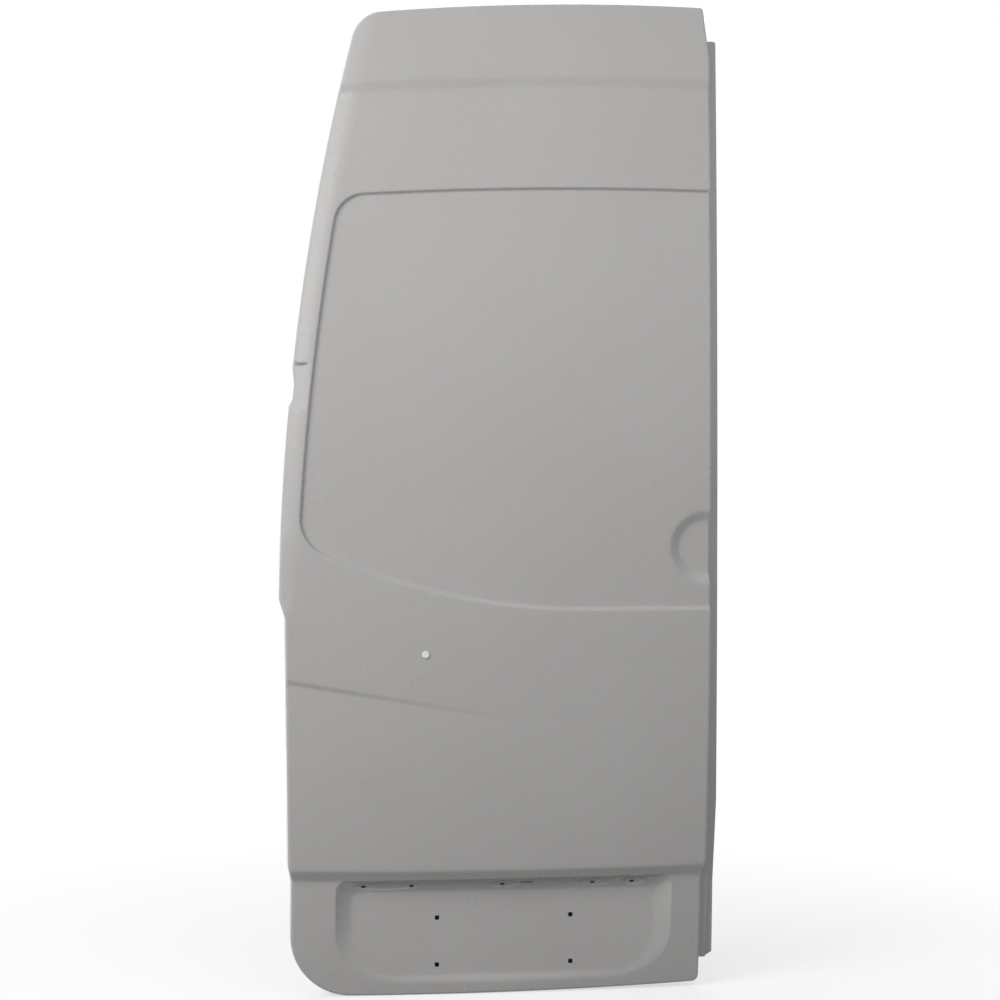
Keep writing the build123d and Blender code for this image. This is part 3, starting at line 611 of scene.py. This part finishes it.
def plate_points():
    """Points on the plate pocket's walls and along its mouth."""
    walls = field(*PLATE_WALL_FIELD)
    share = plate_share(walls[:, 0], walls[:, 1])
    on_wall = (share > PLATE_WALL_LEAST) & (share < PLATE_WALL_MOST)
    lips = field(*PLATE_MOUTH_FIELD)
    mouth = rounded_box(lips[:, 0], lips[:, 1], *PLATE_MOUTH_BOX)
    return [walls[on_wall], lips[np.abs(mouth) < PLATE_MOUTH_NEAR]]


def inner_points(rim, holes):
    """All mesh points between the rim and the holes, with those that nearly coincide left out."""
    across = np.arange(4.0, 846.0, 9.0)
    swage_x = np.arange(2.0, 530.0, 8.0)
    up = np.arange(750.0, 1950.0, 10.0)
    edge = edge_x(np.maximum(up, SHOULDER[1]))
    sets = [field(*FACE_FIELD)]
    sets += [shifted(WINDOW, offset) for offset in WINDOW_OFFSETS]
    sets += dish_rings()
    sets += rows(across, crease_line(across), CREASE_OFFSETS)
    sets += rows(across, step_line(across), STEP_OFFSETS)
    sets += rows(swage_x, swage_line(swage_x), SWAGE_OFFSETS)
    sets += [np.stack([edge + inward, up], 1) for inward in ROLL_OFFSETS]
    sets += [field(*HINGE_POCKET_FIELD), field(*LEDGE_FIELD)]
    sets += plate_points()
    points = np.concatenate(sets)
    points = points[signed_distance(points[:, 0], points[:, 1], rim) < -RIM_CLEAR]
    for loop in holes:
        close = np.hypot(*(points - loop.mean(0)).T) < HOLE_NEAR
        in_the_way = np.zeros(len(points), bool)
        in_the_way[close] = signed_distance(points[close, 0], points[close, 1], loop) < HOLE_CLEAR
        points = points[~in_the_way]
    _, first = np.unique(np.round(points / MERGE_SIZE).astype(int), axis=0, return_index=True)
    return points[np.sort(first)]


def flat_mesh(rim, holes):
    """Front view as triangles inside the rim and outside the holes, with the loops' point numbers."""
    fixed = []
    loops = []
    start = 0
    for loop in [rim] + holes:
        count = len(loop)
        loops.append(list(range(start, start + count)))
        fixed += [(start + i, start + (i + 1) % count) for i in range(count)]
        start += count
    flat = np.concatenate([rim] + holes + [inner_points(rim, holes)])
    whole_hull, closeness, with_numbers = 0, 1e-4, True
    spots, _, tris, origins, _, _ = delaunay_2d_cdt(
        [Vector(p) for p in flat], fixed, [], whole_hull, closeness, with_numbers
    )
    where = {source: i for i, sources in enumerate(origins) for source in sources}
    loops = [[where[i] for i in loop] for loop in loops]
    spots = np.array([tuple(p) for p in spots])
    tris = np.array([t for t in tris if len(t) == 3])
    centre = spots[tris].mean(1)
    keep = signed_distance(centre[:, 0], centre[:, 1], rim) < 0
    for loop in holes:
        close = np.hypot(*(centre - loop.mean(0)).T) < HOLE_INSIDE
        keep[close] &= signed_distance(centre[close, 0], centre[close, 1], loop) > 0
    return spots, tris[keep], loops


def return_depth(x, z):
    under_top = ease((FOOT_RETURN_TOP - z) / FOOT_RETURN_TOP_RUN)
    foot = under_top * ease((FOOT_RETURN_SIDE - x) / FOOT_RETURN_SIDE_RUN)
    return RETURN_DEPTH + (FOOT_RETURN_DEPTH - RETURN_DEPTH) * foot


def edge_rings(outline, rim, starts, across, up):
    """Rounded edge and the return behind it, as rings of points with their normals."""
    out = outline - rim
    length = np.hypot(*out.T)
    out = out / length[:, None]
    _, along = loop_normals(rim)
    lean = np.clip(across * out[:, 0] + up * out[:, 1], EDGE_LEAN_LEAST, EDGE_LEAN_MOST)
    slide = across * along[:, 0] + up * along[:, 1]
    rounded = [(turn, 0.0) for turn in np.linspace(0.0, math.pi / 2, EDGE_RINGS + 1)[1:]]
    returned = [(math.pi / 2, share) for share in (0.5, 1.0)]
    rings = []
    for turn, share in rounded + returned:
        s, c = math.sin(turn), math.cos(turn)
        ring = starts.copy()
        ring[:, 0] += out[:, 0] * length * s
        ring[:, 2] += out[:, 1] * length * s
        ring[:, 1] += lean * EDGE_RADIUS * s + EDGE_RADIUS * (1 - c)
        if share > 0:
            last = base_depth(ring[:, 0], ring[:, 2]) + return_depth(ring[:, 0], ring[:, 2])
            last = np.maximum(last, ring[:, 1] + LEAST_RETURN)
            ring[:, 1] += (last - ring[:, 1]) * share
        tip = lean * c + s
        normal_x = out[:, 0] * tip + along[:, 0] * slide * c
        normal_z = out[:, 1] * tip + along[:, 1] * slide * c
        normal = np.stack([normal_x, np.full(len(ring), -c), normal_z], 1)
        rings.append((ring, normal / np.linalg.norm(normal, axis=1)[:, None]))
    return rings


def neighbours(loop):
    return [(loop[i], loop[(i + 1) % len(loop)]) for i in range(len(loop))]


def faced(face, points, shading):
    """The face, turned so that it looks the way its normals do."""
    a, b, c = points[face[0]], points[face[1]], points[face[2]]
    wanted = shading[list(face)].sum(0)
    return tuple(int(i) for i in (face[::-1] if np.cross(b - a, c - a) @ wanted < 0 else face))


def notched_outline():
    low_run = ease((SKIN[:, 1] - NOTCH_LOW) / NOTCH_LOW_RUN)
    dent = low_run * ease((HINGE_POCKET_HIGH - SKIN[:, 1]) / NOTCH_HIGH_RUN)
    outline = SKIN.copy()
    outline[:, 0] += np.where(SKIN[:, 0] < NOTCH_FAR_X, NOTCH_DEPTH * dent, 0.0)
    return outline


def skin_mesh():
    """Closed sheet: the outer face with its edge and return, the same set back, and strips between."""
    outline = notched_outline()
    rim = shifted(outline, -EDGE_RADIUS)
    spots, tris, loops = flat_mesh(rim, hole_loops())
    x, z = spots[:, 0], spots[:, 1]
    across, up = face_slope(x, z)
    verts = [np.stack([x, face_depth(x, z), z], 1)]
    normals = [outward_normals(across, up)]
    faces = [tuple(t) for t in tris]
    total = len(spots)
    edge = np.array(loops[0])
    last_ring = edge
    for ring, normal in edge_rings(outline, rim, verts[0][edge], across[edge], up[edge]):
        verts.append(ring)
        normals.append(normal)
        next_ring = np.arange(total, total + len(ring))
        pairs = zip(neighbours(last_ring), neighbours(next_ring))
        faces += [(a, b, d, c) for (a, b), (c, d) in pairs]
        last_ring = next_ring
        total += len(ring)
    verts, normals = np.concatenate(verts), np.concatenate(normals)
    back = verts - normals * SHEET
    faces += [tuple(i + total for i in f) for f in faces]
    for loop in [last_ring] + loops[1:]:
        faces += [(a, b, b + total, a + total) for a, b in neighbours(loop)]
    points = np.concatenate([verts, back])
    shading = np.concatenate([normals, -normals])
    return points, [faced(f, points, shading) for f in faces], shading


def add_mesh(name, points, faces, shading):
    mesh = bpy.data.meshes.new(name)
    mesh.from_pydata(placed(points).tolist(), [], faces)
    mesh.polygons.foreach_set("use_smooth", [True] * len(mesh.polygons))
    mesh.normals_split_custom_set_from_vertices([tuple(n) for n in shading])
    piece = bpy.data.objects.new(name, mesh)
    bpy.context.scene.collection.objects.link(piece)
    return piece


skin = add_mesh("pressed_skin", *skin_mesh())
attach(skin, "root")
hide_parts("outer_skin")


# Finishes
def fresh(name):
    made = bpy.data.materials.new(name)
    made.use_nodes = True
    tree = made.node_tree
    tree.nodes.clear()
    return made, tree.nodes, tree.links


def noise(nodes, links, place, scale, detail=3.0, rough=0.55):
    node = nodes.new("ShaderNodeTexNoise")
    node.inputs["Scale"].default_value = scale
    node.inputs["Detail"].default_value = detail
    node.inputs["Roughness"].default_value = rough
    links.new(place, node.inputs["Vector"])
    return node.outputs["Fac"]


def ramp(nodes, links, value, stops):
    node = nodes.new("ShaderNodeValToRGB")
    for element, (position, colour) in zip(node.color_ramp.elements, stops):
        element.position = position
        element.color = (*colour, 1.0)
    links.new(value, node.inputs["Fac"])
    return node.outputs["Color"]


def spread(nodes, links, value, low, high, out_low, out_high):
    """Maps low..high to out_low..out_high."""
    node = nodes.new("ShaderNodeMapRange")
    node.inputs["From Min"].default_value = low
    node.inputs["From Max"].default_value = high
    node.inputs["To Min"].default_value = out_low
    node.inputs["To Max"].default_value = out_high
    links.new(value, node.inputs["Value"])
    return node.outputs["Result"]


def mixed(nodes, links, share, a, b):
    """Blend of two colours, each a tuple or an output of a node."""
    node = nodes.new("ShaderNodeMix")
    node.data_type = "RGBA"
    links.new(share, node.inputs[0])
    for socket, value in ((node.inputs[6], a), (node.inputs[7], b)):
        if isinstance(value, tuple):
            socket.default_value = (*value, 1.0)
        else:
            links.new(value, socket)
    return node.outputs[2]


def bumped(nodes, links, place, scale, detail, strength, distance):
    node = nodes.new("ShaderNodeBump")
    node.inputs["Strength"].default_value = strength
    node.inputs["Distance"].default_value = distance
    links.new(noise(nodes, links, place, scale, detail), node.inputs["Height"])
    return node.outputs["Normal"]


def coated(name, dark, light, dust, film_most, rough, coat, peel, worn=None):
    """Paint with slow tone changes, fine speckle, dust film, orange peel and worn edges."""
    made, nodes, links = fresh(name)
    place = nodes.new("ShaderNodeTexCoord").outputs["Object"]
    slow = noise(nodes, links, place, scale=2.6, detail=4.0, rough=0.5)
    colour = ramp(nodes, links, slow, [(0.32, dark), (0.68, light)])
    speck = noise(nodes, links, place, scale=1700.0, detail=1.0)
    speck_share = spread(nodes, links, speck, 0.35, 0.75, 0.0, 0.1)
    colour = mixed(nodes, links, speck_share, colour, tuple(0.72 * c for c in dark))
    film = noise(nodes, links, place, scale=11.0, detail=6.0, rough=0.68)
    film_share = spread(nodes, links, film, 0.5, 0.8, 0.0, film_most)
    colour = mixed(nodes, links, film_share, colour, dust)
    if worn is not None:
        edge = nodes.new("ShaderNodeNewGeometry").outputs["Pointiness"]
        edge_share = spread(nodes, links, edge, 0.53, 0.62, 0.0, 0.35)
        colour = mixed(nodes, links, edge_share, colour, worn)
    shader = nodes.new("ShaderNodeBsdfPrincipled")
    links.new(colour, shader.inputs["Base Color"])
    patch = noise(nodes, links, place, scale=23.0, detail=5.0, rough=0.65)
    links.new(spread(nodes, links, patch, 0.3, 0.75, *rough), shader.inputs["Roughness"])
    shader.inputs["Coat Weight"].default_value = coat
    shader.inputs["Coat IOR"].default_value = 1.5
    links.new(spread(nodes, links, film, 0.35, 0.8, 0.06, 0.13), shader.inputs["Coat Roughness"])
    normal = bumped(nodes, links, place, scale=260.0, detail=2.0, strength=peel, distance=0.0004)
    links.new(normal, shader.inputs["Normal"])
    links.new(normal, shader.inputs["Coat Normal"])
    out = nodes.new("ShaderNodeOutputMaterial")
    links.new(shader.outputs["BSDF"], out.inputs["Surface"])
    return made


def plain(name, dark, light, scale, rough, metallic=0.0, lumps=(120.0, 0.2, 0.0006)):
    """Mottled finish for steel, plastic, mastic and bitumen; lumps are scale, strength and height."""
    made, nodes, links = fresh(name)
    place = nodes.new("ShaderNodeTexCoord").outputs["Object"]
    tone = noise(nodes, links, place, scale, detail=6.0, rough=0.62)
    colour = ramp(nodes, links, tone, [(0.3, dark), (0.7, light)])
    shader = nodes.new("ShaderNodeBsdfPrincipled")
    links.new(colour, shader.inputs["Base Color"])
    shader.inputs["Metallic"].default_value = metallic
    patch = noise(nodes, links, place, scale * 3.1, detail=4.0)
    links.new(spread(nodes, links, patch, 0.3, 0.75, *rough), shader.inputs["Roughness"])
    lump_scale, strength, height = lumps
    normal = bumped(nodes, links, place, lump_scale, detail=3.0, strength=strength, distance=height)
    links.new(normal, shader.inputs["Normal"])
    out = nodes.new("ShaderNodeOutputMaterial")
    links.new(shader.outputs["BSDF"], out.inputs["Surface"])
    return made


FINISHES = {
    "body_paint": coated(
        "body_paint",
        dark=(0.372, 0.364, 0.358),
        light=(0.388, 0.381, 0.375),
        dust=(0.45, 0.44, 0.42),
        film_most=0.045,
        rough=(0.24, 0.34),
        coat=0.8,
        peel=0.03,
    ),
    "frame_paint": coated(
        "frame_paint",
        dark=(0.35, 0.342, 0.334),
        light=(0.39, 0.382, 0.374),
        dust=(0.45, 0.435, 0.405),
        film_most=0.25,
        rough=(0.34, 0.52),
        coat=0.25,
        peel=0.09,
        worn=(0.5, 0.49, 0.47),
    ),
    "plate_steel": plain(
        "plate_steel",
        dark=(0.36, 0.355, 0.33),
        light=(0.52, 0.51, 0.47),
        scale=60.0,
        rough=(0.32, 0.55),
        metallic=0.85,
        lumps=(300.0, 0.15, 0.0004),
    ),
    "plug_plastic": plain(
        "plug_plastic",
        dark=(0.74, 0.73, 0.7),
        light=(0.82, 0.815, 0.79),
        scale=90.0,
        rough=(0.35, 0.5),
    ),
    "mastic": plain(
        "mastic",
        dark=(0.055, 0.055, 0.058),
        light=(0.095, 0.094, 0.09),
        scale=45.0,
        rough=(0.7, 0.9),
        lumps=(160.0, 0.5, 0.001),
    ),
    "bitumen": plain(
        "bitumen",
        dark=(0.022, 0.022, 0.023),
        light=(0.05, 0.048, 0.046),
        scale=30.0,
        rough=(0.55, 0.8),
        lumps=(70.0, 0.6, 0.0012),
    ),
}
SLOTS = {p["node"]: p["material_slot"] for p in frame["record"]["subparts"]}
for name, node in frame["nodes"].items():
    node.data.materials.clear()
    node.data.materials.append(FINISHES[SLOTS[name]])
skin.data.materials.append(FINISHES["body_paint"])

# Stage: pale floor, soft lights and the photo's viewpoint. Sizes are in metres from here on.
FLOOR_HALF = 14.0
FLOOR_X = 0.4
FLOOR_GAP = 0.0005
FLOOR_DARK = (0.86, 0.86, 0.86)
FLOOR_LIGHT = (0.9, 0.9, 0.9)
# What the floor passes on to the door, dimmer than it looks
FLOOR_BOUNCE = (0.24, 0.237, 0.232)
WHITE = (1.0, 1.0, 1.0, 1.0)
SKY = (0.97, 0.98, 1.0, 1.0)


def seen_rays(nodes, links):
    """1 for rays that show the backdrop itself, 0 for rays that only carry its light."""
    path = nodes.new("ShaderNodeLightPath")
    share = path.outputs["Is Camera Ray"]
    for kind in ("Is Glossy Ray", "Is Transmission Ray"):
        most = nodes.new("ShaderNodeMath")
        most.operation = "MAXIMUM"
        links.new(share, most.inputs[0])
        links.new(path.outputs[kind], most.inputs[1])
        share = most.outputs["Value"]
    return share


def floor_finish():
    """Pale floor that keeps the door's shadow close by and fades to white further out."""
    made, nodes, links = fresh("studio_floor")
    place = nodes.new("ShaderNodeTexCoord").outputs["Object"]
    tone = noise(nodes, links, place, scale=1.4, detail=2.0)
    pale = ramp(nodes, links, tone, [(0.3, FLOOR_DARK), (0.7, FLOOR_LIGHT)])
    seen = seen_rays(nodes, links)
    diffuse = nodes.new("ShaderNodeBsdfDiffuse")
    links.new(mixed(nodes, links, seen, FLOOR_BOUNCE, pale), diffuse.inputs["Color"])
    glow = nodes.new("ShaderNodeEmission")
    glow.inputs["Color"].default_value = WHITE
    far = nodes.new("ShaderNodeVectorMath")
    far.operation = "LENGTH"
    links.new(place, far.inputs[0])
    reach = spread(nodes, links, far.outputs["Value"], 0.3, 1.7, 0.62, 1.0)
    share = nodes.new("ShaderNodeMath")
    share.operation = "MULTIPLY"
    links.new(reach, share.inputs[0])
    links.new(seen, share.inputs[1])
    blend = nodes.new("ShaderNodeMixShader")
    links.new(share.outputs["Value"], blend.inputs["Fac"])
    links.new(diffuse.outputs["BSDF"], blend.inputs[1])
    links.new(glow.outputs["Emission"], blend.inputs[2])
    out = nodes.new("ShaderNodeOutputMaterial")
    links.new(blend.outputs["Shader"], out.inputs["Surface"])
    return made


low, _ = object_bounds()
floor_mesh = bpy.data.meshes.new("floor")
corners = [(x * FLOOR_HALF, y * FLOOR_HALF, 0) for x, y in ((-1, -1), (1, -1), (1, 1), (-1, 1))]
floor_mesh.from_pydata(corners, [], [(0, 1, 2, 3)])
floor = bpy.data.objects.new("floor", floor_mesh)
floor.location = (FLOOR_X, 0.0, low.z - FLOOR_GAP)
floor_mesh.materials.append(floor_finish())
bpy.context.scene.collection.objects.link(floor)


def studio_world():
    """Soft light that grows with height, behind a backdrop that looks white."""
    world = bpy.data.worlds.new("studio")
    world.use_nodes = True
    nodes, links = world.node_tree.nodes, world.node_tree.links
    nodes.clear()
    way = nodes.new("ShaderNodeTexCoord").outputs["Generated"]
    split = nodes.new("ShaderNodeSeparateXYZ")
    links.new(way, split.inputs["Vector"])
    soft = nodes.new("ShaderNodeBackground")
    soft.inputs["Color"].default_value = SKY
    strength = spread(nodes, links, split.outputs["Z"], -0.1, 0.9, 0.1, 0.31)
    links.new(strength, soft.inputs["Strength"])
    white = nodes.new("ShaderNodeBackground")
    white.inputs["Color"].default_value = WHITE
    choice = nodes.new("ShaderNodeMixShader")
    links.new(seen_rays(nodes, links), choice.inputs["Fac"])
    links.new(soft.outputs["Background"], choice.inputs[1])
    links.new(white.outputs["Background"], choice.inputs[2])
    out = nodes.new("ShaderNodeOutputWorld")
    links.new(choice.outputs["Shader"], out.inputs["Surface"])
    return world


bpy.context.scene.world = studio_world()


def lamp(name, place, target, size, power):
    data = bpy.data.lights.new(name, "AREA")
    data.shape = "RECTANGLE"
    data.size, data.size_y = size
    data.energy = power
    light = bpy.data.objects.new(name, data)
    light.location = place
    light.rotation_euler = (Vector(target) - Vector(place)).to_track_quat("-Z", "Y").to_euler()
    bpy.context.scene.collection.objects.link(light)
    return light


key = lamp("key", place=(-2.7, -1.9, 2.1), target=(0.35, 0.0, 0.7), size=(2.2, 2.2), power=150.0)
fill = lamp("fill", place=(0.9, -1.5, 1.5), target=(0.6, 0.0, 0.8), size=(1.8, 1.8), power=12.0)
# The two front lamps are kept out of reflections, so their shapes don't show in the paint.
for light in (key, fill):
    light.visible_glossy = False
lamp("rear", place=(1.6, 3.6, 2.6), target=(0.4, 0.0, 0.4), size=(2.4, 2.4), power=70.0)

# Viewpoint picked to suit the photo; the eye is in the door's millimetres
CAMERA_EYE = (-231.8, -3648.4, 968.0)
CAMERA_YAW = math.radians(10.0)
CAMERA_ROLL = math.radians(0.12)
CAMERA_LENS = 69.3
CAMERA_SENSOR = 36.0

camera_data = bpy.data.cameras.new("camera")
camera_data.sensor_width = CAMERA_SENSOR
camera_data.lens = CAMERA_LENS
camera = bpy.data.objects.new("camera", camera_data)
view = Vector((math.sin(CAMERA_YAW), math.cos(CAMERA_YAW), 0.0))
level = Vector((math.cos(CAMERA_YAW), -math.sin(CAMERA_YAW), 0.0))
upright = Vector((0.0, 0.0, 1.0))
right = level * math.cos(CAMERA_ROLL) + upright * math.sin(CAMERA_ROLL)
over = upright * math.cos(CAMERA_ROLL) - level * math.sin(CAMERA_ROLL)
turn = Matrix((right, over, -view)).transposed().to_4x4()
camera.matrix_world = Matrix.Translation(Vector(placed(CAMERA_EYE))) @ turn
bpy.context.scene.collection.objects.link(camera)
bpy.context.scene.camera = camera
bpy.context.scene.view_settings.view_transform = "Standard"
